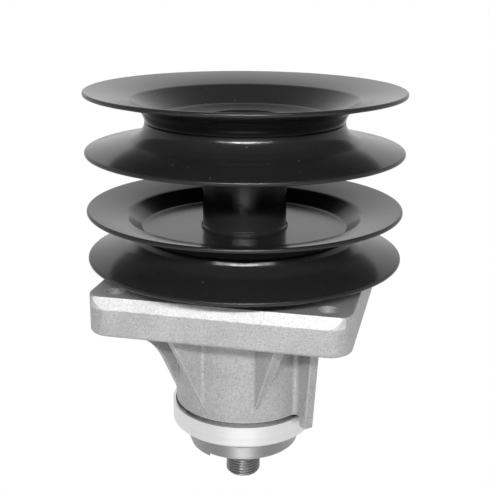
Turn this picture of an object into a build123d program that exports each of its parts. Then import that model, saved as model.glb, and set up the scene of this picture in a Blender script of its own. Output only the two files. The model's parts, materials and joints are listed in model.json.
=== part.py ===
from build123d import *
import math
import os

# Mower deck spindle: a cast housing that bolts up under the deck, a shaft on
# two ball bearings, a double V-belt pulley above and a blade hub below.
# The origin is the centre of the flange's upper face, which seats against the
# underside of the deck, and +Z runs up the shaft towards the pulleys.
# All sizes are in millimetres.

# Fits and clearances
PRESS_FIT = 0.02
LOOSE_FIT = 0.05
RUNNING_GAP = 0.3
BALL_GAP = 0.12
POCKET_GAP = 0.2

# Housing flange
FLANGE_SIDE = 109.2
FLANGE_THICK = 16.6
FLANGE_CORNER = 9.6
BEVEL_TALL = 4.6
BEVEL_WIDE = 2.2
FLANGE_UPPER_ROUND = 0.7
FLANGE_LOWER_ROUND = 1.6
SKIRT_WALL = 5.5
DECK_PLATE_THICK = 8.0
POCKET_CORNER = 4.5

# Deck bolts
BOLT_SPACING = 88.6
BOLT_HOLE_RADIUS = 3.9
BOLT_BOSS_RADIUS = 9.0

# Housing barrel, its raised deck boss and its turned lower end
BARREL_RADIUS = 31.0
BARREL_LENGTH = 61.3
DECK_BOSS_RADIUS = 27.0
DECK_BOSS_CHAMFER = 0.8
SPIGOT_RADIUS = 26.5

# Webs from the barrel to the corners, measured along and across the diagonal
WEB_FOOT_HEIGHT = 5.0
WEB_SLOPE = 24.0
WEB_OUTER_FACE = 12.4
WEB_TIP_THICK = 2.0
WEB_TOP_THICK = 6.4
WEB_FLARE_HEIGHT = 4.0
WEB_FLARE_REACH = 2.0
SIDE_FLARE_START = 24.4
SIDE_FLARE_END = 7.4
SIDE_FLARE_REACH = 53.6
WEB_ROOT_ROUND = 2.0

# Straight lug that stands in place of one web
LUG_INNER_FACE = 8.3
LUG_THICK = 4.5
LUG_REACH = 37.5
LUG_LEAN = 5.2
LUG_DROP = 4.7
LUG_FLARE = 4.5
LUG_EDGE_ROUND = 0.8
LUG_RELIEF_RADIUS = 34.4

# Ball bearings
BEARING_BORE_RADIUS = 8.5
BEARING_OUTER_RADIUS = 20.0
BEARING_WIDTH = 12.0
BALL_SHARE = 0.587
BALL_COUNT = 8
INNER_RACE_WALL = 3.5
OUTER_RACE_WALL = 3.4
RACE_CHAMFER = 0.6
CAGE_THICK = 1.8
CAGE_HEIGHT = 8.6
SEAL_THICK = 1.0
SEAL_RECESS = 0.3
UPPER_BEARING_TOP = 6.0
LOWER_BEARING_INSET = 4.8

# Snap rings that hold the bearings in the housing
SNAP_RING_THICK = 1.1
SNAP_RING_BITE = 1.1
SNAP_RING_DEPTH = 2.4
SNAP_RING_GAP_ANGLE = 26.0
RIM_PAST_SNAP_RING = 1.0

# Shaft
STUD_RADIUS = 7.94
STUD_LENGTH = 18.6
UNDERCUT_RADIUS = 6.9
UNDERCUT_LENGTH = 2.2
THREAD_CHAMFER = 1.2
SPLINE_COUNT = 6
SPLINE_ROOT_RADIUS = 7.3
SPLINE_GROOVE_WIDTH = 4.0
THREAD_PAST_NUT = 2.4
CENTRE_HOLE_RADIUS = 2.0
CENTRE_HOLE_DEPTH = 4.0

# Spacers on the shaft
SPACER_RADIUS = 11.0
COLLAR_NECK_RADIUS = 11.6
COLLAR_NECK_HEIGHT = 3.8
COLLAR_FLANGE_RADIUS = 17.0
COLLAR_CHAMFER = 0.6

# Dust cup and blade hub
CUP_RADIUS = 32.6
CUP_WALL = 1.2
CUP_RIM_GAP = 1.5
CUP_HEIGHT = 9.7
CUP_CORNER_ROUND = 1.6
HUB_BOSS_RADIUS = 12.0
HUB_RADIUS = 25.1
HUB_THICK = 10.1
HUB_CHAMFER = 0.8
HUB_LIP_HEIGHT = 1.2
BLADE_SLOT_WIDTH = 42.0
BLADE_SLOT_ANGLE = 35.0

# Pulleys, each two pressed halves that meet at a seam
SHEET = 1.9
PULLEY_RADIUS = 68.3
GROOVE_SIDE_SLOPE = 14.0
RIM_ABOVE_FLANGE = 6.1
LOWER_PULLEY_HEIGHT = 23.2
LOWER_GROOVE_DEPTH = 22.3
LOWER_WALL_LEAN = 26.0
LOWER_SEAM_ROUND = 2.0
LOWER_ROOT_ROUND = 3.4
PULLEY_GAP = 22.6
UPPER_PULLEY_HEIGHT = 27.5
UPPER_GROOVE_DEPTH = 26.2
UPPER_WALL_LEAN = 41.0
UPPER_SEAM_ROUND = 4.0
UPPER_ROOT_ROUND = 6.4

# Hub tube between the pulleys
TUBE_RADIUS = 18.3
TUBE_WALL = 1.9
TUBE_FOOT_RADIUS = 19.0
TUBE_FOOT_HEIGHT = 1.4

# Washer and lock nut inside the tube
WASHER_RADIUS = 14.6
WASHER_THICK = 2.8
NUT_ACROSS_FLATS = 23.8
NUT_HEIGHT = 11.0
NUT_COLLAR_HEIGHT = 2.6
NUT_COLLAR_RADIUS = 10.4

# Sizes and heights that follow from the sizes above
race_gap = BEARING_OUTER_RADIUS - BEARING_BORE_RADIUS
ball_radius = BALL_SHARE * race_gap / 2
ball_pitch_radius = BEARING_BORE_RADIUS + race_gap / 2
inner_race_radius = BEARING_BORE_RADIUS + INNER_RACE_WALL
outer_race_radius = BEARING_OUTER_RADIUS - OUTER_RACE_WALL
lower_root_radius = PULLEY_RADIUS - LOWER_GROOVE_DEPTH
upper_root_radius = PULLEY_RADIUS - UPPER_GROOVE_DEPTH
barrel_end = -BARREL_LENGTH
upper_seat = UPPER_BEARING_TOP - BEARING_WIDTH
lower_seat = barrel_end + LOWER_BEARING_INSET
lower_bearing_end = lower_seat - BEARING_WIDTH
housing_top = UPPER_BEARING_TOP + SNAP_RING_THICK + RIM_PAST_SNAP_RING
housing_end = lower_bearing_end - SNAP_RING_THICK - RIM_PAST_SNAP_RING
cup_top = barrel_end - CUP_RIM_GAP
cup_bottom = cup_top - CUP_HEIGHT
hub_face = cup_bottom - HUB_THICK
shaft_end = hub_face - STUD_LENGTH
lower_pulley_base = RIM_ABOVE_FLANGE
lower_seam = lower_pulley_base + LOWER_PULLEY_HEIGHT / 2
upper_pulley_base = lower_pulley_base + LOWER_PULLEY_HEIGHT + PULLEY_GAP
upper_seam = upper_pulley_base + UPPER_PULLEY_HEIGHT / 2
stack_top = lower_seam + SHEET
nut_base = stack_top + WASHER_THICK
nut_top = nut_base + NUT_HEIGHT
shaft_top = nut_top + THREAD_PAST_NUT
journal_radius = BEARING_BORE_RADIUS - PRESS_FIT
web_lean = math.tan(math.radians(WEB_SLOPE))
web_foot_reach = math.sqrt(BARREL_RADIUS ** 2 - WEB_OUTER_FACE ** 2)


def ring(outer, inner, bottom, top):
    """A plain ring about the shaft axis."""
    height = top - bottom
    profile = Circle(outer) - Circle(inner)
    return extrude(Plane.XY.offset(bottom) * profile, height)


def turned(points):
    """A solid turned about the shaft axis from (radius, height) points."""
    outline = [(radius, 0, height) for radius, height in points]
    return revolve(make_face(Polyline(*outline, close=True)), Axis.Z)


def corner_plane(corner_angle):
    """A vertical plane through the axis that faces across one diagonal."""
    along = Vector(1, 0, 0).rotate(Axis.Z, corner_angle)
    across = along.cross(Vector(0, 0, 1))
    return Plane(origin=(0, 0, 0), x_dir=along, z_dir=across)


def root_round(corner_angle, face, looks, bottom):
    """The concave round between the barrel and a web's face that looks +1 or -1."""
    across = face + looks * WEB_ROOT_ROUND
    along = math.sqrt((BARREL_RADIUS + WEB_ROOT_ROUND) ** 2 - across ** 2)
    share = BARREL_RADIUS / (BARREL_RADIUS + WEB_ROOT_ROUND)
    sunk = face - looks * WEB_ROOT_ROUND
    filled = make_face(Polyline(
        (share * along - WEB_ROOT_ROUND, sunk), (along, sunk), (along, across),
        (share * along, share * across), close=True))
    filled = filled - Pos(along, across) * Circle(WEB_ROOT_ROUND)
    top = -DECK_PLATE_THICK
    base = Plane(origin=(0, 0, top), x_dir=corner_plane(corner_angle).x_dir, z_dir=(0, 0, -1))
    return extrude(base * filled, top - bottom)


def web_flare(faces_sideways):
    """Height where a web's edge starts to flare, and where the flare ends."""
    top = -FLANGE_THICK
    tip = barrel_end + WEB_FOOT_HEIGHT
    if faces_sideways:
        return top - SIDE_FLARE_START, (SIDE_FLARE_REACH, top - SIDE_FLARE_END)
    straight_end = web_foot_reach + web_lean * (top - tip)
    return top - WEB_FLARE_HEIGHT, (straight_end + WEB_FLARE_REACH, top)


def web(corner_angle, side, faces_sideways):
    """One tapering web beside a corner's diagonal, side +1 or -1."""
    tip = barrel_end + WEB_FOOT_HEIGHT
    top = -FLANGE_THICK
    flare_height, flare_end = web_flare(faces_sideways)
    flare_foot = (web_foot_reach + web_lean * (flare_height - tip), flare_height)
    inside = BARREL_RADIUS / 2
    ceiling = -DECK_PLATE_THICK
    slope = Line((web_foot_reach, tip), flare_foot)
    flare = TangentArc(flare_foot, flare_end, tangent=slope % 1)
    rest = Polyline(
        flare_end, (flare_end[0], ceiling), (inside, ceiling), (inside, tip), (web_foot_reach, tip))
    outline = corner_plane(corner_angle) * make_face([slope, flare, rest])
    plate = extrude(outline, WEB_OUTER_FACE + WEB_ROOT_ROUND, both=True)
    wedge_points = [
        (side * (WEB_OUTER_FACE - WEB_TIP_THICK), tip),
        (side * WEB_OUTER_FACE, tip),
        (side * WEB_OUTER_FACE, ceiling),
        (side * (WEB_OUTER_FACE - WEB_TOP_THICK), ceiling),
        (side * (WEB_OUTER_FACE - WEB_TOP_THICK), top),
    ]
    across = corner_plane(corner_angle - 90)
    wedge = extrude(across * make_face(Polyline(*wedge_points, close=True)), FLANGE_SIDE, both=True)
    return plate & (wedge + root_round(corner_angle, side * WEB_OUTER_FACE, side, tip))


def lug(corner_angle, side):
    """The straight lug that hangs past the barrel's end."""
    bottom = barrel_end - LUG_DROP
    top = -FLANGE_THICK
    lean = math.tan(math.radians(LUG_LEAN))
    top_reach = LUG_REACH + lean * (top - bottom)
    inside = BARREL_RADIUS / 2
    ceiling = -DECK_PLATE_THICK
    flared_reach = top_reach + LUG_FLARE / 2
    outline = make_face(Polyline(
        (inside, bottom), (LUG_REACH, bottom), (top_reach - lean * LUG_FLARE, top - LUG_FLARE),
        (flared_reach, top), (flared_reach, ceiling), (inside, ceiling), close=True))
    offset_plane = corner_plane(corner_angle).offset(side * (LUG_INNER_FACE + LUG_THICK / 2))
    plate = extrude(offset_plane * outline, LUG_THICK / 2, both=True)
    long_edges = plate.edges().filter_by(lambda edge: edge.length > LUG_REACH)
    free_edges = long_edges.filter_by(lambda edge: math.hypot(edge.center().X, edge.center().Y) > BARREL_RADIUS)
    plate = fillet(free_edges, LUG_EDGE_ROUND)
    inner_root = root_round(corner_angle, side * LUG_INNER_FACE, -side, bottom)
    outer_root = root_round(corner_angle, side * (LUG_INNER_FACE + LUG_THICK), side, bottom)
    return plate + inner_root + outer_root


def flange():
    """The square flange with its cast bevel, hollow underneath behind a skirt."""
    block = extrude(RectangleRounded(FLANGE_SIDE, FLANGE_SIDE, FLANGE_CORNER), -FLANGE_THICK)
    block = fillet(block.faces().sort_by(Axis.Z)[-1].edges(), FLANGE_UPPER_ROUND)
    block = fillet(block.faces().sort_by(Axis.Z)[0].edges(), FLANGE_LOWER_ROUND)
    edge = FLANGE_SIDE / 2
    for side in (-1, 1):
        bevel = Polyline(
            (side * edge, -BEVEL_TALL), (side * (edge - BEVEL_WIDE), 0), (side * edge, BEVEL_TALL),
            close=True)
        block = block - extrude(Plane.YZ * make_face(bevel), edge, both=True)
    inner = FLANGE_SIDE - 2 * SKIRT_WALL
    pocket_depth = FLANGE_THICK - DECK_PLATE_THICK
    opening = Plane.XY.offset(-FLANGE_THICK) * RectangleRounded(inner, inner, POCKET_CORNER)
    pocket = extrude(opening, pocket_depth)
    half = BOLT_SPACING / 2
    reach = FLANGE_SIDE
    for sx in (-1, 1):
        for sy in (-1, 1):
            boss = Pos(sx * half, sy * half) * Circle(BOLT_BOSS_RADIUS)
            block_side = Pos(sx * (half + reach / 2), sy * half) * Rectangle(reach, 2 * BOLT_BOSS_RADIUS)
            block_end = Pos(sx * half, sy * (half + reach / 2)) * Rectangle(2 * BOLT_BOSS_RADIUS, reach)
            kept = boss + block_side + block_end
            pocket = pocket - extrude(Plane.XY.offset(-FLANGE_THICK) * kept, pocket_depth)
    return block - pocket


def barrel():
    """The round barrel below the flange, with the deck boss above it."""
    shank = Pos(0, 0, barrel_end) * Cylinder(
        BARREL_RADIUS, BARREL_LENGTH - DECK_PLATE_THICK / 2, align=(Align.CENTER, Align.CENTER, Align.MIN))
    spigot = ring(SPIGOT_RADIUS, inner_race_radius, housing_end, barrel_end)
    boss = Cylinder(DECK_BOSS_RADIUS, housing_top, align=(Align.CENTER, Align.CENTER, Align.MIN))
    boss = chamfer(boss.edges().sort_by(Axis.Z)[-1], DECK_BOSS_CHAMFER)
    return shank + spigot + boss


def housing():
    """The cast housing: flange, barrel, eight webs less one, and the lug."""
    body = flange() + barrel()
    for corner_angle in (45, 135, 225, 315):
        for side in (-1, 1):
            towards = (corner_angle - side * 45) % 180
            if (corner_angle, side) == (315, -1):
                body = body + lug(corner_angle, side)
            else:
                body = body + web(corner_angle, side, towards == 0)
    body = body - ring(LUG_RELIEF_RADIUS, SPIGOT_RADIUS, housing_end, barrel_end)
    bore = outer_race_radius - RUNNING_GAP
    seat = BEARING_OUTER_RADIUS + PRESS_FIT
    groove = BEARING_OUTER_RADIUS + SNAP_RING_BITE
    bore_points = [
        (0, housing_end), (seat, housing_end), (seat, lower_bearing_end - SNAP_RING_THICK),
        (groove, lower_bearing_end - SNAP_RING_THICK), (groove, lower_bearing_end),
        (seat, lower_bearing_end), (seat, lower_seat), (bore, lower_seat), (bore, upper_seat),
        (seat, upper_seat), (seat, UPPER_BEARING_TOP), (groove, UPPER_BEARING_TOP),
        (groove, UPPER_BEARING_TOP + SNAP_RING_THICK), (seat, UPPER_BEARING_TOP + SNAP_RING_THICK),
        (seat, housing_top), (0, housing_top),
    ]
    body = body - turned(bore_points)
    hole = Cylinder(BOLT_HOLE_RADIUS, 3 * FLANGE_THICK)
    for place in GridLocations(BOLT_SPACING, BOLT_SPACING, 2, 2):
        body = body - place * hole
    return body


def inner_race(centre):
    """A bearing's inner race with its ball groove."""
    half = BEARING_WIDTH / 2
    race = ring(inner_race_radius, BEARING_BORE_RADIUS, centre - half, centre + half)
    race = chamfer(race.edges().filter_by(GeomType.CIRCLE).group_by(SortBy.RADIUS)[0], RACE_CHAMFER)
    return race - Pos(0, 0, centre) * Torus(ball_pitch_radius, ball_radius + BALL_GAP)


def outer_race(centre):
    """A bearing's outer race with its ball groove."""
    half = BEARING_WIDTH / 2
    race = ring(BEARING_OUTER_RADIUS, outer_race_radius, centre - half, centre + half)
    race = chamfer(race.edges().filter_by(GeomType.CIRCLE).group_by(SortBy.RADIUS)[-1], RACE_CHAMFER)
    return race - Pos(0, 0, centre) * Torus(ball_pitch_radius, ball_radius + BALL_GAP)


def balls(centre):
    """One ball for each place round the pitch circle."""
    places = PolarLocations(ball_pitch_radius, BALL_COUNT)
    return Compound(children=[Pos(0, 0, centre) * place * Sphere(ball_radius) for place in places])


def cage(centre):
    """The ring that spaces the balls, with one round pocket for each."""
    half = CAGE_HEIGHT / 2
    inner = ball_pitch_radius - CAGE_THICK / 2
    body = ring(inner + CAGE_THICK, inner, centre - half, centre + half)
    pocket = Rot(0, 90, 0) * Cylinder(ball_radius + POCKET_GAP, 2 * ball_radius)
    for place in PolarLocations(ball_pitch_radius, BALL_COUNT):
        body = body - Pos(0, 0, centre) * place * pocket
    return body


def seal(centre, side):
    """A rubber seal pressed into the outer race, side +1 above and -1 below."""
    face = centre + side * (BEARING_WIDTH / 2 - SEAL_RECESS)
    back = face - side * SEAL_THICK
    outer = outer_race_radius - PRESS_FIT
    return ring(outer, inner_race_radius + RUNNING_GAP, min(face, back), max(face, back))


def snap_ring(bottom):
    """An open spring ring that sits in its groove in the housing."""
    outer = BEARING_OUTER_RADIUS + SNAP_RING_BITE - PRESS_FIT
    inner = BEARING_OUTER_RADIUS - SNAP_RING_DEPTH
    body = ring(outer, inner, bottom, bottom + SNAP_RING_THICK)
    half_gap = outer * math.sin(math.radians(SNAP_RING_GAP_ANGLE / 2))
    slot = Pos(outer, 0, bottom + SNAP_RING_THICK / 2) * Box(2 * SNAP_RING_DEPTH + outer, 2 * half_gap, outer)
    return body - slot


def spline_profile(gap):
    """The six-toothed section that drives the pulley, grown by a gap."""
    outline = Circle(journal_radius + gap)
    depth = journal_radius - SPLINE_ROOT_RADIUS
    middle = SPLINE_ROOT_RADIUS + gap + depth
    for place in PolarLocations(middle, SPLINE_COUNT):
        outline = outline - place * Rectangle(2 * depth, SPLINE_GROOVE_WIDTH - 2 * gap)
    return outline


def shaft():
    """The shaft: threaded blade stud, plain journal, spline and nut thread."""
    spline_bottom = lower_seam - SHEET
    stud = Pos(0, 0, shaft_end) * Cylinder(
        STUD_RADIUS, STUD_LENGTH - UNDERCUT_LENGTH, align=(Align.CENTER, Align.CENTER, Align.MIN))
    stud = chamfer(stud.edges().sort_by(Axis.Z)[0], THREAD_CHAMFER)
    undercut = Pos(0, 0, hub_face - UNDERCUT_LENGTH) * Cylinder(
        UNDERCUT_RADIUS, UNDERCUT_LENGTH, align=(Align.CENTER, Align.CENTER, Align.MIN))
    journal = Pos(0, 0, hub_face) * Cylinder(
        journal_radius, spline_bottom - hub_face, align=(Align.CENTER, Align.CENTER, Align.MIN))
    spline = extrude(Plane.XY.offset(spline_bottom) * spline_profile(0), stack_top - spline_bottom)
    thread = Pos(0, 0, stack_top) * Cylinder(
        SPLINE_ROOT_RADIUS, shaft_top - stack_top, align=(Align.CENTER, Align.CENTER, Align.MIN))
    thread = chamfer(thread.edges().sort_by(Axis.Z)[-1], THREAD_CHAMFER)
    body = stud + undercut + journal + spline + thread
    centre_hole = Cone(
        0, CENTRE_HOLE_RADIUS, CENTRE_HOLE_DEPTH, align=(Align.CENTER, Align.CENTER, Align.MAX))
    body = body - Pos(0, 0, shaft_top) * centre_hole
    return body - Pos(0, 0, shaft_end) * Rot(180, 0, 0) * centre_hole


def bearing_spacer():
    """The tube that keeps the two inner races apart."""
    return ring(SPACER_RADIUS, BEARING_BORE_RADIUS, lower_seat, upper_seat)


def pulley_collar():
    """The stepped collar between the upper bearing and the lower pulley."""
    bore = BEARING_BORE_RADIUS
    neck_top = UPPER_BEARING_TOP + COLLAR_NECK_HEIGHT
    top = lower_seam - SHEET
    return turned([
        (bore, UPPER_BEARING_TOP), (COLLAR_NECK_RADIUS, UPPER_BEARING_TOP), (COLLAR_NECK_RADIUS, neck_top),
        (COLLAR_FLANGE_RADIUS - COLLAR_CHAMFER, neck_top), (COLLAR_FLANGE_RADIUS, neck_top + COLLAR_CHAMFER),
        (COLLAR_FLANGE_RADIUS, top), (bore, top),
    ])


def dust_cup():
    """The thin turned cup that shrouds the housing's lower end."""
    body = ring(CUP_RADIUS, HUB_BOSS_RADIUS + PRESS_FIT, cup_bottom, cup_top)
    body = fillet(body.edges().filter_by(GeomType.CIRCLE).group_by(Axis.Z)[0].sort_by(SortBy.RADIUS)[-1],
                  CUP_CORNER_ROUND)
    return body - ring(CUP_RADIUS - CUP_WALL, HUB_BOSS_RADIUS, cup_bottom + CUP_WALL, cup_top)


def blade_hub():
    """The hub that carries the blade, with a raised boss and two drive lips."""
    bore = BEARING_BORE_RADIUS
    body = turned([
        (bore, hub_face), (HUB_RADIUS - HUB_CHAMFER, hub_face), (HUB_RADIUS, hub_face + HUB_CHAMFER),
        (HUB_RADIUS, cup_bottom), (HUB_BOSS_RADIUS, cup_bottom), (HUB_BOSS_RADIUS, lower_bearing_end),
        (bore, lower_bearing_end),
    ])
    lips = Circle(HUB_RADIUS - HUB_CHAMFER) - Rot(0, 0, BLADE_SLOT_ANGLE) * Rectangle(
        BLADE_SLOT_WIDTH, 3 * HUB_RADIUS)
    return body + extrude(Plane.XY.offset(hub_face) * lips, -HUB_LIP_HEIGHT)


def sheave_half(height, root_radius, wall_lean, rounds, hole):
    """One pressed half: flat web, leaning wall and sloping flange, seam at zero."""
    slope = math.tan(math.radians(GROOVE_SIDE_SLOPE))
    lean = math.tan(math.radians(wall_lean))
    rim_height = height - SHEET / math.cos(math.radians(GROOVE_SIDE_SLOPE))
    wall_top = (rim_height - (PULLEY_RADIUS - root_radius) * slope) / (1 - lean * slope)
    corners = [
        (TUBE_RADIUS, 0, 0),
        (root_radius, 0, 0),
        (root_radius + lean * wall_top, 0, wall_top),
        (PULLEY_RADIUS + SHEET, 0, rim_height + SHEET * slope),
    ]
    groove_side = FilletPolyline(*corners, radius=rounds)
    section = make_face(offset(groove_side, amount=SHEET, side=Side.RIGHT, kind=Kind.ARC))
    body = revolve(section, Axis.Z)
    web_plate = extrude(Circle(TUBE_RADIUS + SHEET) - hole, SHEET)
    trim = ring(PULLEY_RADIUS, inner_race_radius, -SHEET, 2 * height)
    return (body & trim) + web_plate


def lower_sheave_half():
    """A half of the lower pulley, with the splined hole."""
    rounds = [LOWER_SEAM_ROUND, LOWER_ROOT_ROUND]
    return sheave_half(
        LOWER_PULLEY_HEIGHT / 2, lower_root_radius, LOWER_WALL_LEAN, rounds, spline_profile(LOOSE_FIT))


def upper_sheave_half():
    """A half of the upper pulley, open at the middle for the nut's socket."""
    rounds = [UPPER_SEAM_ROUND, UPPER_ROOT_ROUND]
    return sheave_half(
        UPPER_PULLEY_HEIGHT / 2, upper_root_radius, UPPER_WALL_LEAN, rounds, Circle(TUBE_RADIUS - TUBE_WALL))


def hub_tube():
    """The tube that joins the two pulleys, with a small weld bead at its foot."""
    bottom = lower_seam + SHEET
    top = upper_seam - SHEET
    inner = TUBE_RADIUS - TUBE_WALL
    return turned([
        (inner, bottom), (TUBE_FOOT_RADIUS, bottom), (TUBE_FOOT_RADIUS, bottom + TUBE_FOOT_HEIGHT / 2),
        (TUBE_RADIUS, bottom + TUBE_FOOT_HEIGHT), (TUBE_RADIUS, top), (inner, top),
    ])


def pulley_washer():
    """The thick washer under the nut."""
    return ring(WASHER_RADIUS, SPLINE_ROOT_RADIUS + LOOSE_FIT, stack_top, nut_base)


def lock_nut():
    """The hexagon lock nut with its round collar."""
    hexagon = RegularPolygon(NUT_ACROSS_FLATS / 2, 6, major_radius=False)
    hex_height = NUT_HEIGHT - NUT_COLLAR_HEIGHT
    body = extrude(Plane.XY.offset(nut_base) * hexagon, hex_height)
    body = body + Pos(0, 0, nut_base + hex_height) * Cylinder(
        NUT_COLLAR_RADIUS, NUT_COLLAR_HEIGHT, align=(Align.CENTER, Align.CENTER, Align.MIN))
    bore = Cylinder(SPLINE_ROOT_RADIUS + PRESS_FIT, 2 * NUT_HEIGHT)
    return body - Pos(0, 0, nut_base) * bore


def build_nodes():
    """Every piece of the spindle by its node name."""
    upper_centre = UPPER_BEARING_TOP - BEARING_WIDTH / 2
    lower_centre = lower_seat - BEARING_WIDTH / 2
    nodes = {"housing": housing()}
    for name, centre in (("upper", upper_centre), ("lower", lower_centre)):
        nodes[name + "_outer_race"] = outer_race(centre)
        nodes[name + "_inner_race"] = inner_race(centre)
        nodes[name + "_cage"] = cage(centre)
        nodes[name + "_balls"] = balls(centre)
        nodes[name + "_bearing_top_seal"] = seal(centre, 1)
        nodes[name + "_bearing_bottom_seal"] = seal(centre, -1)
    nodes["upper_snap_ring"] = snap_ring(UPPER_BEARING_TOP)
    nodes["lower_snap_ring"] = snap_ring(lower_bearing_end - SNAP_RING_THICK)
    nodes["shaft"] = shaft()
    nodes["bearing_spacer"] = bearing_spacer()
    nodes["pulley_collar"] = pulley_collar()
    nodes["dust_cup"] = dust_cup()
    nodes["blade_hub"] = blade_hub()
    lower_half = lower_sheave_half()
    upper_half = upper_sheave_half()
    nodes["lower_pulley_top_half"] = Pos(0, 0, lower_seam) * lower_half
    nodes["lower_pulley_bottom_half"] = Pos(0, 0, lower_seam) * mirror(lower_half, Plane.XY)
    nodes["upper_pulley_top_half"] = Pos(0, 0, upper_seam) * upper_half
    nodes["upper_pulley_bottom_half"] = Pos(0, 0, upper_seam) * mirror(upper_half, Plane.XY)
    nodes["hub_tube"] = hub_tube()
    nodes["pulley_washer"] = pulley_washer()
    nodes["lock_nut"] = lock_nut()
    return nodes


def write_nodes():
    """Write one STEP file for each node."""
    os.makedirs("parts", exist_ok=True)
    for name, solid in build_nodes().items():
        export_step(solid, "parts/" + name + ".step")


write_nodes()
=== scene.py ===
"""Looks of a mower deck spindle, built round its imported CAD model."""
import json
import logging
import math
from dataclasses import dataclass, field
from enum import Enum
from typing import Sequence, Union

import bmesh
import bpy
from mathutils import Matrix, Vector


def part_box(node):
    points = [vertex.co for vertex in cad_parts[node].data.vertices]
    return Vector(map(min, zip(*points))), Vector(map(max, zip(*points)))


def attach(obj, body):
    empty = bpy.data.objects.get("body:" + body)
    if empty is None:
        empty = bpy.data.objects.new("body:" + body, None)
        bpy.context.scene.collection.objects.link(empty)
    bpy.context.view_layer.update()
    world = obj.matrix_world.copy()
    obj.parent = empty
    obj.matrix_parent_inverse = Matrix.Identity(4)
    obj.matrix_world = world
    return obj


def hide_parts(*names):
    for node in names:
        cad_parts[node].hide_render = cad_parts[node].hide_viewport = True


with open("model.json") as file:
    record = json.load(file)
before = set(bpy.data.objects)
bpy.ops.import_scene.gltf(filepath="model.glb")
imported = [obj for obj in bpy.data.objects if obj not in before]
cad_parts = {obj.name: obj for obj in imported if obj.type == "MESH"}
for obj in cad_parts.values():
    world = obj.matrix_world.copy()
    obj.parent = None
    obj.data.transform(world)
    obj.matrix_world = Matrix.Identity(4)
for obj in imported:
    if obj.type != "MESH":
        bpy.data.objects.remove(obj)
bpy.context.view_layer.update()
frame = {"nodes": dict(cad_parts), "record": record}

log = logging.getLogger("mower_deck_spindle")
MM = 0.001
Point = tuple[float, float]


class Smoothing(Enum):
    """How far two faces may turn before the edge between them is drawn sharp."""

    TURNED = math.radians(32)
    CAST = math.radians(28)


class Expr:
    """A shader socket that takes part in Python arithmetic."""

    def __init__(self, shop: "NodeShop", socket: bpy.types.NodeSocket) -> None:
        """Wraps a socket.

        Args:
            shop: The node shop that the new nodes go into.
            socket: The output socket that holds the value.
        """
        self.shop = shop
        self.socket = socket

    def _math(self, operation: str, *values: "Number") -> "Expr":
        """Adds one Math node.

        Args:
            operation: The Math node's operation.
            values: The node's inputs in order.

        Returns:
            The node's result.
        """
        inputs = dict(enumerate(values))
        return self.shop.node("ShaderNodeMath", {"operation": operation}, inputs)[0]

    def __add__(self, other: "Number") -> "Expr":
        """Sum of two values."""
        return self._math("ADD", self, other)

    __radd__ = __add__

    def __sub__(self, other: "Number") -> "Expr":
        """Difference of two values."""
        return self._math("SUBTRACT", self, other)

    def __rsub__(self, other: "Number") -> "Expr":
        """Difference with the number on the left."""
        return self._math("SUBTRACT", other, self)

    def __mul__(self, other: "Number") -> "Expr":
        """Product of two values."""
        return self._math("MULTIPLY", self, other)

    __rmul__ = __mul__

    def __pow__(self, other: "Number") -> "Expr":
        """This value raised to a power."""
        return self._math("POWER", self, other)

    def clipped(self) -> "Expr":
        """This value held between 0 and 1."""
        return self._math("MINIMUM", self._math("MAXIMUM", self, 0.0), 1.0)

    def step(self, low: float, high: float) -> "Expr":
        """A smooth rise from 0 at low to 1 at high.

        Args:
            low: Where the rise begins.
            high: Where the rise ends.

        Returns:
            The smoothed step.
        """
        settings = {"interpolation_type": "SMOOTHSTEP"}
        inputs = {"Value": self, "From Min": low, "From Max": high}
        return self.shop.node("ShaderNodeMapRange", settings, inputs)[0]

    def absolute(self) -> "Expr":
        """This value without its sign."""
        return self._math("ABSOLUTE", self)


Number = Union[Expr, float]


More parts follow.
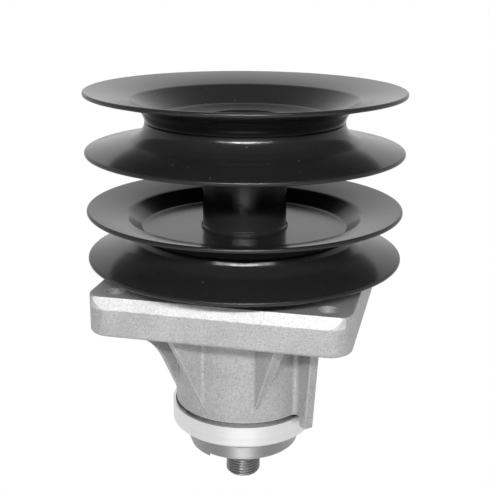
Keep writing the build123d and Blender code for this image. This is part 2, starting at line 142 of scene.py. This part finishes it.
class NodeShop:
    """Makes the nodes of one material or world."""

    def __init__(self, tree: bpy.types.NodeTree) -> None:
        """Starts on an empty tree.

        Args:
            tree: The node tree to fill.
        """
        self.tree = tree
        tree.nodes.clear()

    def node(self, kind: str, settings: dict, inputs: dict) -> list[Expr]:
        """Makes any node.

        Args:
            kind: The node's type.
            settings: Attributes set before the inputs.
            inputs: Socket names or numbers with their values or links.

        Returns:
            The node's outputs in order.
        """
        made = self.tree.nodes.new(kind)
        for name, value in settings.items():
            setattr(made, name, value)
        for name, value in inputs.items():
            socket = made.inputs[name]
            if isinstance(value, Expr):
                self.tree.links.new(value.socket, socket)
            else:
                socket.default_value = value
        return [Expr(self, output) for output in made.outputs if output.enabled]

    def position(self, scale: Sequence[float] = (1.0, 1.0, 1.0)) -> Expr:
        """The surface point in the row frame, scaled along each axis.

        Args:
            scale: Factor along X, Y and Z.

        Returns:
            The scaled point.
        """
        place = self.node("ShaderNodeTexCoord", {}, {})[3]
        return self.node("ShaderNodeVectorMath", {"operation": "MULTIPLY"}, {0: place, 1: scale})[0]

    def noise(self, size_mm: float, detail: float = 3.0, stretch: Sequence[float] = (1, 1, 1)) -> Expr:
        """Even noise of a given grain size.

        Args:
            size_mm: Rough size of one grain in millimetres.
            detail: Octaves of finer noise.
            stretch: Factor on the noise's rate along each axis.

        Returns:
            The noise, about 0.5 on average.
        """
        rate = 1.0 / (size_mm * MM)
        point = self.position([rate * value for value in stretch])
        inputs = {"Vector": point, "Scale": 1.0, "Detail": detail, "Roughness": 0.55}
        return self.node("ShaderNodeTexNoise", {}, inputs)[0]

    def axes(self) -> tuple[Expr, Expr, Expr]:
        """The surface point's X, Y and Z in metres."""
        place = self.node("ShaderNodeTexCoord", {}, {})[3]
        x, y, z = self.node("ShaderNodeSeparateXYZ", {}, {0: place})
        return x, y, z

    def grey(self, value: Number) -> Expr:
        """A grey colour of a given value.

        Args:
            value: The value from 0 to 1.

        Returns:
            The colour.
        """
        return self.node("ShaderNodeCombineColor", {}, {0: value, 1: value, 2: value})[0]

    def bump(self, height: Expr, depth_mm: float) -> Expr:
        """A normal that follows a height.

        Args:
            height: The height from 0 to 1.
            depth_mm: What a height of 1 measures in millimetres.

        Returns:
            The bumped normal.
        """
        inputs = {"Height": height, "Distance": depth_mm * MM, "Strength": 1.0}
        return self.node("ShaderNodeBump", {}, inputs)[0]

    def surface(self, inputs: dict) -> None:
        """Ends the tree in one Principled shader.

        Args:
            inputs: The shader's socket values and links.
        """
        shader = self.node("ShaderNodeBsdfPrincipled", {}, inputs)[0]
        self.node("ShaderNodeOutputMaterial", {}, {"Surface": shader})


def new_material(name: str) -> tuple[bpy.types.Material, NodeShop]:
    """Starts a material.

    Args:
        name: The material's name.

    Returns:
        The material and its node shop.
    """
    material = bpy.data.materials.new(name)
    material.use_nodes = True
    return material, NodeShop(material.node_tree)


@dataclass(frozen=True)
class BlackPaint:
    """Gloss black paint on pressed sheet, with faint orange peel, dust and a few chips."""

    name: str = "gloss_black_paint"
    base: float = 0.017
    roughness: float = 0.16
    reflectance_index: float = 1.38
    peel_mm: float = 3.0
    peel_depth_mm: float = 0.015
    dust_mm: float = 1.1
    dust_range: Point = (0.66, 0.8)
    dust_grey: float = 0.03
    dust_dulling: float = 0.1
    chip_mm: float = 1.4
    chip_range: Point = (0.85, 0.88)
    chip_grey: float = 0.08
    cloud_mm: float = 24.0
    cloud_dulling: float = 0.06

    def material(self) -> bpy.types.Material:
        """Makes the paint's material."""
        made, shop = new_material(self.name)
        peel = shop.noise(self.peel_mm, 2.0)
        dust = shop.noise(self.dust_mm, 3.0).step(*self.dust_range)
        cloud = shop.noise(self.cloud_mm, 3.0)
        chips = shop.noise(self.chip_mm, 0.0).step(*self.chip_range)
        roughness = self.roughness + cloud * self.cloud_dulling + dust * self.dust_dulling
        shop.surface({
            "Base Color": shop.grey(self.base + dust * self.dust_grey + chips * self.chip_grey),
            "Roughness": roughness.clipped(),
            "IOR": self.reflectance_index,
            "Normal": shop.bump(peel, self.peel_depth_mm),
        })
        return made


@dataclass(frozen=True)
class CastAluminium:
    """Shot-blasted die casting: fine bright grain, edges and fillets lightened as a painted highlight, and
    a painted highlight on the flange bevel above a ragged lower line.
    """

    name: str = "cast_aluminium"
    value: float = 0.46
    metal: float = 0.6
    roughness: float = 0.44
    grain_mm: float = 0.5
    grain_share: float = 0.5
    grain_dulling: float = 0.14
    blast_mm: float = 1.3
    blast_share: float = 0.24
    pit_mm: float = 0.8
    pit_range: Point = (0.62, 0.74)
    pit_share: float = 0.08
    cloud_mm: float = 16.0
    cloud_share: float = 0.2
    relief_mm: float = 0.16
    edge_mm: float = 0.7
    edge_range: Point = (0.01, 0.12)
    # Painted highlight: how much the colour is lifted on edges and fillets.
    edge_highlight_share: float = 0.3
    edge_polish: float = 0.04
    bevel_face: float = 0.0515
    bevel_line: float = -0.0046
    # Painted highlight: how much the colour is lifted on the flange bevel.
    bevel_highlight_share: float = 0.18
    bevel_dulling: float = 0.12
    ragged_mm: float = 3.0
    ragged_reach: float = 0.0022

    def edge_highlight_mask(self, shop: NodeShop) -> Expr:
        """Where two faces meet at an outward or inward corner, which the material lightens as a painted
        highlight.

        Args:
            shop: The material's node shop.

        Returns:
            A mask, 1 on the edges.
        """
        rounded = shop.node("ShaderNodeBevel", {"samples": 6}, {"Radius": self.edge_mm * MM})[0]
        flat = shop.node("ShaderNodeNewGeometry", {}, {})[1]
        match = shop.node("ShaderNodeVectorMath", {"operation": "DOT_PRODUCT"}, {0: rounded, 1: flat})[0]
        return (1.0 - match).step(*self.edge_range)

    def bevel_highlight_band(self, shop: NodeShop) -> Expr:
        """The bevel along the flange's front and back, with a ragged lower line, which the material
        lightens as a painted highlight.

        Args:
            shop: The material's node shop.

        Returns:
            A mask, 1 on the bevel.
        """
        _, y, z = shop.axes()
        ragged = z + (shop.noise(self.ragged_mm, 5.0) - 0.5) * self.ragged_reach
        above = ragged.step(self.bevel_line - 0.0005, self.bevel_line + 0.0003)
        outside = y.absolute().step(self.bevel_face - 0.0002, self.bevel_face + 0.0002)
        return above * outside

    def material(self) -> bpy.types.Material:
        """Makes the casting's material."""
        made, shop = new_material(self.name)
        grain = shop.noise(self.grain_mm, 3.0)
        blast = shop.noise(self.blast_mm, 3.0)
        pits = shop.noise(self.pit_mm, 2.0).step(*self.pit_range)
        cloud = shop.noise(self.cloud_mm, 4.0)
        # Mask of the painted highlight on edges and fillets; it also lowers the roughness there.
        edges = self.edge_highlight_mask(shop)
        # Mask of the painted highlight on the flange bevel; it also raises the roughness there.
        bevel = self.bevel_highlight_band(shop)
        value = self.value + (grain - 0.5) * self.grain_share + (blast - 0.5) * self.blast_share
        value = value + (cloud - 0.5) * self.cloud_share - pits * self.pit_share
        # Painted highlights lift the colour on edges, fillets and the flange bevel.
        value = value + edges * self.edge_highlight_share + bevel * self.bevel_highlight_share
        roughness = self.roughness + grain * self.grain_dulling
        roughness = roughness - edges * self.edge_polish + bevel * self.bevel_dulling
        shop.surface({
            "Base Color": shop.grey(value.clipped()),
            "Metallic": self.metal,
            "Roughness": roughness.clipped(),
            "Normal": shop.bump(grain + blast * 0.8 + cloud * 0.5, self.relief_mm),
        })
        return made


@dataclass(frozen=True)
class TurnedMetal:
    """Metal finished on a lathe: fine rings round the axis."""

    name: str
    value: float
    roughness: float
    ring_size: float = 0.35
    ring_depth: float = 0.02
    metal: float = 1.0
    streak: float = 0.7

    def material(self) -> bpy.types.Material:
        """Makes the turned finish."""
        made, shop = new_material(self.name)
        x, y, z = shop.axes()
        radius = (x * x + y * y) ** 0.5
        rate = 1.0 / (self.ring_size * MM)
        lines = shop.node("ShaderNodeTexNoise", {"noise_dimensions": "2D"}, {
            "Vector": shop.node("ShaderNodeCombineXYZ", {}, {0: radius * rate, 1: z * rate})[0],
            "Scale": 1.0, "Detail": 2.0})[0]
        cloud = shop.noise(9.0, 3.0)
        value = self.value * (0.85 + lines * 0.2 + cloud * 0.12)
        shop.surface({
            "Base Color": shop.grey(value.clipped()),
            "Metallic": self.metal,
            "Roughness": (self.roughness + (lines - 0.5) * 0.15 + (cloud - 0.5) * 0.1).clipped(),
            "Anisotropic": self.streak,
            "Anisotropic Rotation": 0.25,
            "Normal": shop.bump(lines, self.ring_depth),
        })
        return made


@dataclass(frozen=True)
class SealRubber:
    """Matte black rubber of the bearing seals."""

    name: str = "seal_rubber"

    def material(self) -> bpy.types.Material:
        """Makes the rubber."""
        made, shop = new_material(self.name)
        grain = shop.noise(0.5, 2.0)
        shop.surface({
            "Base Color": shop.grey(0.02 + grain * 0.02),
            "Roughness": (0.6 + grain * 0.2).clipped(),
            "Normal": shop.bump(grain, 0.02),
        })
        return made


PAINT = BlackPaint()
CASTING = CastAluminium()
BRIGHT_CUP = TurnedMetal("turned_cup", 0.86, 0.34, 0.5, 0.03, metal=0.75)
HUB_STEEL = TurnedMetal("hub_steel", 0.44, 0.42, 0.45, 0.02, streak=0.9)
SHAFT_STEEL = TurnedMetal("shaft_steel", 0.34, 0.36, 0.2, 0.01)
SPACER_STEEL = TurnedMetal("turned_steel", 0.5, 0.3)
ZINC = TurnedMetal("zinc_steel", 0.6, 0.32, 0.6, 0.01)
SPRING = TurnedMetal("spring_steel", 0.12, 0.35, 0.6, 0.01)
GROUND = TurnedMetal("bearing_steel", 0.7, 0.16, 0.15, 0.004)
CAGE = TurnedMetal("cage_steel", 0.55, 0.3, 0.6, 0.01)
RUBBER = SealRubber()
SLOT_FINISHES = {
    "cast_aluminium": CASTING, "turned_cup": BRIGHT_CUP, "black_paint": PAINT, "hub_steel": HUB_STEEL,
    "shaft_steel": SHAFT_STEEL, "turned_steel": SPACER_STEEL, "zinc_steel": ZINC, "spring_steel": SPRING,
    "bearing_steel": GROUND, "cage_steel": CAGE, "seal_rubber": RUBBER,
}
Finish = Union[BlackPaint, CastAluminium, TurnedMetal, SealRubber]


class FinishRack:
    """Keeps one material for each finish."""

    def __init__(self) -> None:
        """Starts empty."""
        self.made: dict[str, bpy.types.Material] = {}

    def get(self, finish: Finish) -> bpy.types.Material:
        """The material of a finish, made on first use.

        Args:
            finish: The finish wanted.

        Returns:
            Its material.
        """
        if finish.name not in self.made:
            self.made[finish.name] = finish.material()
        return self.made[finish.name]


def rounded_path(corners: Sequence[Point], radii: Sequence[float], steps: int = 10) -> list[Point]:
    """A path through corners with each inner corner rounded.

    Args:
        corners: Radius and height of each corner.
        radii: One radius for each corner between the two ends.
        steps: Points on each rounding.

    Returns:
        The path's points.
    """
    points = [corners[0]]
    for index, radius in enumerate(radii):
        before, here, after = (Vector(corners[index + offset]) for offset in range(3))
        toward_start = (before - here).normalized()
        toward_end = (after - here).normalized()
        half = toward_start.angle(toward_end) / 2
        reach = radius / math.tan(half)
        centre = here + (toward_start + toward_end).normalized() * radius / math.sin(half)
        first = here + toward_start * reach - centre
        last = here + toward_end * reach - centre
        sweep = math.atan2(first.x * last.y - first.y * last.x, first.dot(last))
        for step in range(steps + 1):
            turned = first.copy()
            turned.rotate(Matrix.Rotation(sweep * step / steps, 2))
            points.append(tuple(centre + turned))
    points.append(corners[-1])
    return points


@dataclass
class Turning:
    """A piece made by turning a closed profile about the shaft axis."""

    name: str
    profile: Sequence[Point]
    segments: int = 160

    def build(self) -> bpy.types.Object:
        """Turns the profile.

        Returns:
            The new object.
        """
        count = len(self.profile)
        spokes = [2 * math.pi * index / self.segments for index in range(self.segments)]
        vertices = [
            (radius * math.cos(spoke) * MM, radius * math.sin(spoke) * MM, height * MM)
            for spoke in spokes for radius, height in self.profile]
        faces = [
            (spoke * count + ring, spoke * count + (ring + 1) % count,
             (spoke + 1) % self.segments * count + (ring + 1) % count,
             (spoke + 1) % self.segments * count + ring)
            for spoke in range(self.segments) for ring in range(count)]
        return mesh_object(self.name, vertices, faces, Smoothing.TURNED)


def mesh_object(name: str, vertices: Sequence[Sequence[float]], faces: Sequence[Sequence[int]],
                smoothing: Smoothing) -> bpy.types.Object:
    """Makes a shaded mesh object with outward faces.

    Args:
        name: The object's name.
        vertices: Points in metres in the row frame.
        faces: Vertex numbers of each face.
        smoothing: The angle past which edges are sharp.

    Returns:
        The linked object.
    """
    mesh = bpy.data.meshes.new(name)
    mesh.from_pydata(vertices, [], faces)
    work = bmesh.new()
    work.from_mesh(mesh)
    bmesh.ops.recalc_face_normals(work, faces=work.faces)
    work.to_mesh(mesh)
    work.free()
    mesh.shade_smooth()
    mesh.set_sharp_from_angle(angle=smoothing.value)
    made = bpy.data.objects.new(name, mesh)
    bpy.context.scene.collection.objects.link(made)
    return made


def fit(piece: bpy.types.Object, body: str, slot: str, material: bpy.types.Material, *nodes: str) -> None:
    """Rides a piece on its body in place of CAD nodes.

    Args:
        piece: The new piece.
        body: The CAD body that it moves with.
        slot: The record's material slot; not used.
        material: Its material.
        nodes: The CAD nodes that it stands for.
    """
    piece.data.materials.append(material)
    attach(piece, body)
    if nodes:
        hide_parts(*nodes)
    log.info("%s: %d faces, rides on %s", piece.name, len(piece.data.polygons), body)


@dataclass
class Pulley:
    """One belt pulley of two pressed halves that meet at a seam."""

    name: str
    seam: float
    height: float
    root_radius: float
    wall_height: float
    shoulder_radius: float
    side_slope: float
    rounds: tuple[float, float, float]
    hole: float
    wall_lean: float
    dish_floor: float
    sheet: float = 1.9
    rim_radius: float = 68.3
    dish_rounds: tuple[float, float] = (2.5, 5.0)
    edge_round: float = 0.85

    def half_profile(self, side: int) -> list[Point]:
        """The closed profile of one half.

        Args:
            side: +1 for the half above the seam and -1 for the one below.

        Returns:
            Radius and height of each point.
        """
        across = math.radians(self.side_slope)
        lean = math.tan(math.radians(self.wall_lean))
        rim_height = self.sheet / math.cos(across)
        rim = self.height / 2 - rim_height
        shoulder = rim - (self.rim_radius - self.shoulder_radius) * math.tan(across)
        groove = [
            (self.hole, 0.0), (self.root_radius, 0.0),
            (self.root_radius + lean * self.wall_height, self.wall_height),
            (self.shoulder_radius, shoulder), (self.rim_radius, rim)]
        lift = Vector((-math.sin(across), math.cos(across))) * self.sheet
        dish = [
            (self.hole, self.sheet), (self.dish_floor, self.sheet),
            tuple(Vector(groove[3]) + lift), (self.rim_radius, rim + rim_height)]
        outer = rounded_path(groove, self.rounds)
        inner = rounded_path(dish, self.dish_rounds)
        edge = rounded_path(
            [outer[-2], outer[-1], inner[-1], inner[-2]], [self.edge_round, self.edge_round], 4)
        profile = outer[:-1] + edge[1:-1] + inner[:-1][::-1]
        return [(radius, self.seam + side * height) for radius, height in profile]

    def build(self, rack: FinishRack) -> None:
        """Makes both halves.

        Args:
            rack: Where the finishes are kept.
        """
        for word, side in (("top", 1), ("bottom", -1)):
            node = self.name + "_" + word + "_half"
            piece = Turning(node + "_pressing", self.half_profile(side)).build()
            fit(piece, "rotor", "black_paint", rack.get(PAINT), node)


@dataclass
class HubTube:
    """The tube between the pulleys with a weld bead at its foot."""

    bottom: float = 19.6
    top: float = 63.75
    outer: float = 18.3
    inner: float = 16.4
    bead_radius: float = 19.0
    bead_height: float = 1.4
    bead_rounds: tuple[float, float, float] = (0.05, 0.3, 0.4)

    def build(self, rack: FinishRack) -> None:
        """Makes the tube.

        Args:
            rack: Where the finishes are kept.
        """
        bead = rounded_path(
            [(self.inner, self.bottom), (self.bead_radius, self.bottom),
             (self.bead_radius, self.bottom + self.bead_height / 2),
             (self.outer, self.bottom + self.bead_height), (self.outer, self.top)],
            self.bead_rounds, 4)
        piece = Turning("hub_tube_drawn", bead + [(self.inner, self.top)], 128).build()
        fit(piece, "rotor", "black_paint", rack.get(PAINT), "hub_tube")


@dataclass(frozen=True)
class ThreadForm:
    """A right-hand thread with flat crests and roots."""

    bottom: float
    top: float
    major: float
    pitch: float = 1.411
    depth: float = 0.82
    half_crest: float = 0.08
    flank: float = 0.3
    lead_depth: float = 1.25
    bottom_runout: float = 1.2
    top_runout: float = 0.7

    def radius(self, height: float, turn: float) -> float:
        """The thread's radius at one point.

        Args:
            height: Height in millimetres.
            turn: Share of a full turn about the axis.

        Returns:
            The radius in millimetres.
        """
        phase = (height / self.pitch - turn) % 1.0
        down_flank = min(max((abs(phase - 0.5) - self.half_crest) / self.flank, 0.0), 1.0)
        into_bottom = max(0.0, 1 - (height - self.bottom) / self.bottom_runout)
        into_top = max(0.0, 1 - (self.top - height) / self.top_runout)
        lead = self.depth * self.lead_depth * max(into_bottom, into_top)
        return self.major - max(self.depth * down_flank, lead)


@dataclass
class BladeShaft:
    """The shaft with its threaded blade stud and its nut thread."""

    foot: float = -101.2
    hub_face: float = -82.6
    undercut_start: float = 0.2
    undercut: float = 6.9
    journal: float = 8.48
    spline_bottom: float = 15.8
    spline_top: float = 19.6
    head: float = 35.8
    centre_hole: Point = (2.0, 4.0)
    hole_tip: float = 0.05
    segments: int = 96
    rows_a_turn: int = 12
    blade_thread: ThreadForm = ThreadForm(-101.2, -84.8, 7.94)
    nut_thread: ThreadForm = ThreadForm(19.6, 35.8, 7.3)

    def rows(self) -> list[tuple[float, Union[float, ThreadForm]]]:
        """Height of each ring from the foot up, with its radius or thread."""
        hole_radius, hole_depth = self.centre_hole
        rows: list[tuple[float, Union[float, ThreadForm]]] = [
            (self.foot + hole_depth, self.hole_tip), (self.foot, hole_radius)]
        rows += self.thread_rows(self.blade_thread)
        rows += [
            (self.blade_thread.top + self.undercut_start, self.undercut), (self.hub_face, self.undercut),
            (self.hub_face, self.journal), (self.spline_bottom, self.journal),
            (self.spline_bottom, self.nut_thread.major), (self.spline_top, self.nut_thread.major)]
        rows += self.thread_rows(self.nut_thread)
        rows += [(self.head, hole_radius), (self.head - hole_depth, self.hole_tip)]
        return rows

    def thread_rows(self, thread: ThreadForm) -> list[tuple[float, ThreadForm]]:
        """The rings along one thread.

        Args:
            thread: The thread.

        Returns:
            Height of each ring with the thread that gives its radius.
        """
        count = round((thread.top - thread.bottom) / thread.pitch * self.rows_a_turn)
        span = thread.top - thread.bottom
        return [(thread.bottom + span * index / count, thread) for index in range(count + 1)]

    def build(self, rack: FinishRack) -> None:
        """Makes the shaft.

        Args:
            rack: Where the finishes are kept.
        """
        rows = self.rows()
        vertices = []
        for height, form in rows:
            for index in range(self.segments):
                turn = index / self.segments
                radius = form.radius(height, turn) if isinstance(form, ThreadForm) else form
                angle = 2 * math.pi * turn
                vertices.append((radius * math.cos(angle) * MM, radius * math.sin(angle) * MM, height * MM))
        faces = [
            (row * self.segments + index, row * self.segments + (index + 1) % self.segments,
             (row + 1) * self.segments + (index + 1) % self.segments, (row + 1) * self.segments + index)
            for row in range(len(rows) - 1) for index in range(self.segments)]
        faces.append(tuple(range(self.segments)))
        faces.append(tuple((len(rows) - 1) * self.segments + index for index in range(self.segments)))
        piece = mesh_object("blade_shaft_turned", vertices, faces, Smoothing.TURNED)
        fit(piece, "rotor", "shaft_steel", rack.get(SHAFT_STEEL), "shaft")


@dataclass
class Camera:
    """The camera at the photograph's place."""

    place: tuple[float, float, float] = (0.08966, -0.38469, 0.12950)
    pitch: float = 16.806
    azimuth: float = 13.12
    roll: float = 0.349
    focal_px: float = 930.85
    centre_px: float = 244.4545
    frame_px: float = 490.0

    def build(self) -> None:
        """Places the camera and makes it the scene's own."""
        data = bpy.data.cameras.new("photo_camera")
        data.sensor_width = 36.0
        data.lens = self.focal_px / self.frame_px * data.sensor_width
        data.shift_x = (self.frame_px / 2 - self.centre_px) / self.frame_px
        data.clip_start = 0.01
        camera = bpy.data.objects.new("photo_camera", data)
        bpy.context.scene.collection.objects.link(camera)
        turn = Matrix.Rotation(math.radians(self.azimuth), 4, "Z")
        tilt = Matrix.Rotation(math.radians(90 - self.pitch), 4, "X")
        roll = Matrix.Rotation(math.radians(self.roll), 4, "Z")
        camera.matrix_world = Matrix.Translation(self.place) @ turn @ tilt @ roll
        bpy.context.scene.camera = camera
        log.info("camera at %s", self.place)


@dataclass
class Lamp:
    """One soft area lamp aimed at the spindle."""

    name: str
    azimuth: float
    elevation: float
    distance: float
    size: tuple[float, float]
    watts: float
    aim: tuple[float, float, float] = (0.0, 0.0, 0.0)

    def build(self) -> None:
        """Places the lamp."""
        data = bpy.data.lights.new(self.name, "AREA")
        data.shape = "RECTANGLE"
        data.size, data.size_y = self.size
        data.energy = self.watts
        lamp = bpy.data.objects.new(self.name, data)
        bpy.context.scene.collection.objects.link(lamp)
        swing, lift = math.radians(self.azimuth), math.radians(self.elevation)
        level = math.cos(lift)
        direction = Vector((math.sin(swing) * level, -math.cos(swing) * level, math.sin(lift)))
        lamp.location = Vector(self.aim) + direction * self.distance
        lamp.rotation_euler = (-direction).to_track_quat("-Z", "Y").to_euler()


@dataclass
class Studio:
    """Pale floor, white surroundings and soft lamps."""

    lamps: list[Lamp] = field(default_factory=lambda: [
        Lamp("key_softbox", azimuth=12.5, elevation=27.0, distance=0.9, size=(0.42, 0.035), watts=4.9),
        Lamp("key_wings", azimuth=12.5, elevation=27.0, distance=0.92, size=(0.95, 0.035), watts=4.3),
    ])
    floor_half: float = 3.0
    floor_grey: float = 0.86
    fill: float = 0.14
    front_share: float = 0.22
    overhead_share: float = 0.18
    side_share: float = 0.72
    front_azimuth: float = 13.0
    front_fade: Point = (-0.5, 0.3)
    side_fade: Point = (0.05, 0.6)
    overhead_fade: Point = (0.35, 0.95)
    floor_front_fade: Point = (-0.1, 0.12)
    floor_side_fade: Point = (0.02, 0.14)

    def build(self) -> None:
        """Makes the floor, the world and the lamps."""
        self.set_world()
        self.lay_floor()
        for lamp in self.lamps:
            lamp.build()
        log.info("studio with %d lamps", len(self.lamps))

    def seen(self, shop: NodeShop) -> tuple[Expr, Expr]:
        """Tells rays that show the background from rays that light the object.

        Args:
            shop: The tree's node shop.

        Returns:
            1 for camera rays, and 1 for rays that a reflection or a transmission sends.
        """
        rays = shop.node("ShaderNodeLightPath", {}, {})
        by_name = {ray.socket.name: ray for ray in rays}
        camera_ray = by_name["Is Camera Ray"]
        bounced = (by_name["Is Glossy Ray"] + by_name["Is Transmission Ray"]).clipped()
        return camera_ray, bounced * (1.0 - camera_ray)

    def backness(self, shop: NodeShop, place: Expr, fade: Point) -> Expr:
        """The share of white that reflections find: less towards the open front of the studio.

        Args:
            shop: The tree's node shop.
            place: A direction, or a point on the floor.
            fade: Distances along the camera's heading where the share is least and where it is full.

        Returns:
            The share, from front_share to 1.
        """
        heading = math.radians(self.front_azimuth)
        ahead = (-math.sin(heading), math.cos(heading), 0.0)
        along = shop.node("ShaderNodeVectorMath", {"operation": "DOT_PRODUCT"}, {0: place, 1: ahead})[0]
        return self.front_share + along.step(*fade) * (1.0 - self.front_share)

    def sideness(self, shop: NodeShop, place: Expr, fade: Point) -> Expr:
        """The share of white that reflections find: less far out on either side.

        Args:
            shop: The tree's node shop.
            place: A direction, or a point on the floor.
            fade: Distances to the side where the share is still full and where it is least.

        Returns:
            The share, from side_share to 1.
        """
        heading = math.radians(self.front_azimuth)
        right = (math.cos(heading), math.sin(heading), 0.0)
        across = shop.node("ShaderNodeVectorMath", {"operation": "DOT_PRODUCT"}, {0: place, 1: right})[0]
        return 1.0 - across.absolute().step(*fade) * (1.0 - self.side_share)

    def set_world(self) -> None:
        """White surroundings that reflections see as dimmer in front, overhead and at the sides."""
        world = bpy.data.worlds.new("studio_white")
        bpy.context.scene.world = world
        world.use_nodes = True
        shop = NodeShop(world.node_tree)
        camera_ray, mirror_ray = self.seen(shop)
        direction = shop.node("ShaderNodeTexCoord", {}, {})[0]
        height = shop.node("ShaderNodeSeparateXYZ", {}, {0: direction})[2]
        overhead = 1.0 - height.step(*self.overhead_fade) * (1.0 - self.overhead_share)
        sides = self.sideness(shop, direction, self.side_fade)
        mirrored = mirror_ray * self.backness(shop, direction, self.front_fade) * sides * overhead
        lighting = (1.0 - (camera_ray + mirror_ray)) * self.fill
        strength = camera_ray + mirrored + lighting
        background = shop.node("ShaderNodeBackground", {}, {"Color": (1, 1, 1, 1), "Strength": strength})[0]
        shop.node("ShaderNodeOutputWorld", {}, {"Surface": background})

    def lay_floor(self) -> None:
        """A pale floor under the stud that shows as white and keeps the shadow."""
        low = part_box("shaft")[0][2]
        half = self.floor_half
        vertices = [(-half, -half, low), (half, -half, low), (half, half, low), (-half, half, low)]
        floor = mesh_object("floor", vertices, [(0, 1, 2, 3)], Smoothing.CAST)
        material, shop = new_material("pale_floor")
        grey = self.floor_grey
        pale = shop.node("ShaderNodeBsdfDiffuse", {}, {"Color": (grey, grey, grey, 1)})[0]
        glow = shop.node("ShaderNodeEmission", {}, {"Color": (1, 1, 1, 1), "Strength": 1.0})[0]
        camera_ray, mirror_ray = self.seen(shop)
        place = shop.node("ShaderNodeTexCoord", {}, {})[3]
        sides = self.sideness(shop, place, self.floor_side_fade)
        shown = camera_ray + mirror_ray * self.backness(shop, place, self.floor_front_fade) * sides
        mixed = shop.node("ShaderNodeMixShader", {}, {0: shown, 1: pale, 2: glow})[0]
        shop.node("ShaderNodeOutputMaterial", {}, {"Surface": mixed})
        floor.data.materials.append(material)


def dress_cad_nodes(rack: FinishRack) -> None:
    """Gives each CAD node that stays the finish of its material slot.

    Args:
        rack: Where the finishes are kept.
    """
    for entry in frame["record"]["subparts"]:
        node = frame["nodes"].get(entry["node"])
        if node is None or node.type != "MESH":
            continue
        finish = SLOT_FINISHES[entry["material_slot"]]
        node.data.materials.clear()
        node.data.materials.append(rack.get(finish))
        log.info("%s dressed as %s", entry["node"], finish.name)


def main() -> None:
    """Builds the dressed spindle, its studio and its camera."""
    logging.basicConfig(level=logging.INFO)
    rack = FinishRack()
    Camera().build()
    dress_cad_nodes(rack)
    Pulley(
        "upper_pulley", seam=65.8, height=27.2, root_radius=42.8, wall_height=4.2, shoulder_radius=49.5,
        side_slope=12.8, rounds=(1.0, 7.0, 12.0), hole=16.4, wall_lean=6.0, dish_floor=36.5).build(rack)
    Pulley(
        "lower_pulley", seam=17.7, height=23.2, root_radius=46.0, wall_height=2.6, shoulder_radius=51.5,
        side_slope=13.0, rounds=(1.4, 2.6, 8.0), hole=8.6, wall_lean=20.5, dish_floor=44.4).build(rack)
    HubTube().build(rack)
    BladeShaft().build(rack)
    Studio().build()
    bpy.context.scene.view_settings.view_transform = "Standard"


if __name__ == "__main__":
    main()
